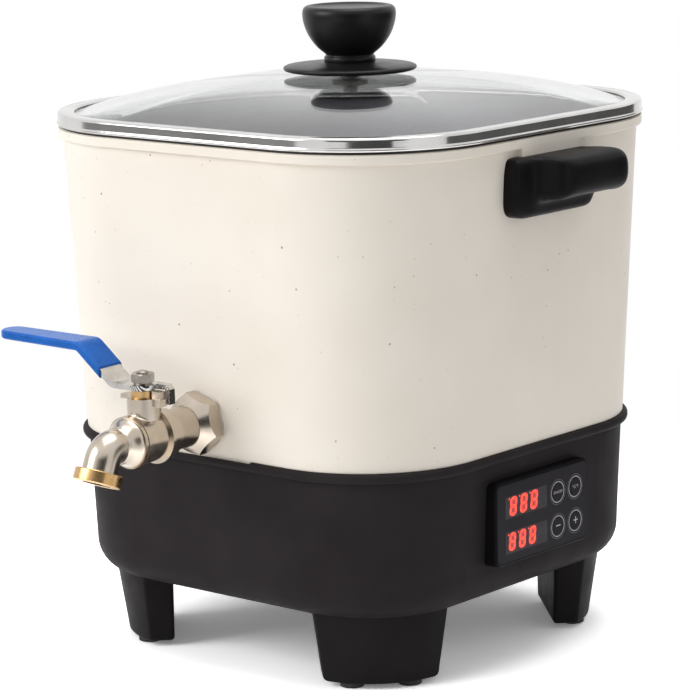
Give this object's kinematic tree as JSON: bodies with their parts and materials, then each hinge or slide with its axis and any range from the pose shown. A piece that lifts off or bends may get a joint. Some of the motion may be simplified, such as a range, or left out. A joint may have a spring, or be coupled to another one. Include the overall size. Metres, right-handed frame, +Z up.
{
  "type": "candle wax melter",
  "caption": "Electric candle wax melter: square cast pot with glass lid on a heated base with a digital panel, and a ball valve with a blue lever.",
  "frame": {"origin": "vertical axis of the pot at floor level; -Y is the valve side, +X the control panel side", "axes": "+X right, +Y back, +Z up, metres"},
  "size_m": [0.294, 0.3261, 0.3204],
  "materials": {
    "cast_pot": "speckled cream non-stick coating on cast aluminium",
    "black_handle": "fine textured black phenolic",
    "black_knob": "smooth black phenolic",
    "black_case": "matte black powder coat",
    "black_foot": "matte black moulding",
    "pad_rubber": "dull black rubber",
    "lid_glass": "clear tempered glass",
    "lid_steel": "polished stainless band",
    "screw_steel": "zinc plated steel",
    "nickel": "nickel plated brass, satin",
    "bare_brass": "bare turned brass",
    "lever_steel": "plated pressed steel",
    "blue_sleeve": "dipped blue vinyl",
    "seal_white": "white sealing plastic",
    "gasket": "pale grey silicone",
    "panel_gloss": "glossy black panel",
    "display_window": "smoked display window",
    "board_green": "circuit board laminate",
    "heater_sheath": "drawn metal sheath"
  },
  "bodies": {
    "base": {"back_left_leg": "black_foot", "back_right_leg": "black_foot", "ball_seats": "seal_white", "base_housing": "black_case", "bottom_cover": "black_case", "bulkhead_nut": "nickel", "control_board": "board_green", "control_board_screws": "screw_steel", "cord_gland": "black_foot", "cord_gland_nut": "black_foot", "cover_screws": "screw_steel", "foot_pads": "pad_rubber", "front_left_leg": "black_foot", "front_right_leg": "black_foot", "gland_nut": "bare_brass", "handle_screws": "screw_steel", "heat_shield": "lid_steel", "heater_retainer": "lid_steel", "heating_element": "heater_sheath", "inner_gasket": "gasket", "inner_locknut": "nickel", "insulating_washers": "gasket", "key_board": "black_foot", "key_board_screws": "screw_steel", "left_handle": "black_handle", "leg_screws": "screw_steel", "lower_display": "display_window", "outer_gasket": "gasket", "panel_bezel": "panel_gloss", "panel_sheet": "panel_gloss", "pot": "cast_pot", "pot_screws": "screw_steel", "retainer_screws": "screw_steel", "right_handle": "black_handle", "spout": "nickel", "spout_ring": "bare_brass", "stem_packing": "seal_white", "temperature_sensor": "heater_sheath", "thermal_cutout": "heater_sheath", "upper_display": "display_window", "valve_body": "nickel", "valve_nipple": "nickel"},
    "lid": {"lid_glass": "lid_glass", "lid_rim": "lid_steel", "lid_washer": "lid_steel", "knob_spacer": "lid_steel", "knob_plate": "black_knob", "lid_knob": "black_knob", "knob_screw": "screw_steel"},
    "valve_handle": {"valve_ball": "nickel", "valve_stem": "bare_brass", "valve_lever": "lever_steel", "lever_sleeve": "blue_sleeve", "lever_nut": "nickel"},
    "on_off_key": {"key_on_off": "panel_gloss"},
    "units_key": {"key_units": "panel_gloss"},
    "minus_key": {"key_minus": "panel_gloss"},
    "plus_key": {"key_plus": "panel_gloss"}
  },
  "joints": [
    {"name": "lid_lift", "type": "slide", "parent": "base", "child": "lid", "axis": [0, 0, 1], "range_m": [0, 0.12]},
    {"name": "valve_turn", "type": "hinge", "parent": "base", "child": "valve_handle", "pos_m": [0, -0.15614, 0.12696], "axis": [0, -0.0209, 0.9998], "range_deg": [0, 90]},
    {"name": "on_off_key_press", "type": "slide", "parent": "base", "child": "on_off_key", "axis": [-1, 0, 0], "range_m": [0, 0.0005], "stiffness_N_per_m": 600},
    {"name": "units_key_press", "type": "slide", "parent": "base", "child": "units_key", "axis": [-1, 0, 0], "range_m": [0, 0.0005], "stiffness_N_per_m": 600},
    {"name": "minus_key_press", "type": "slide", "parent": "base", "child": "minus_key", "axis": [-1, 0, 0], "range_m": [0, 0.0005], "stiffness_N_per_m": 600},
    {"name": "plus_key_press", "type": "slide", "parent": "base", "child": "plus_key", "axis": [-1, 0, 0], "range_m": [0, 0.0005], "stiffness_N_per_m": 600}
  ]
}
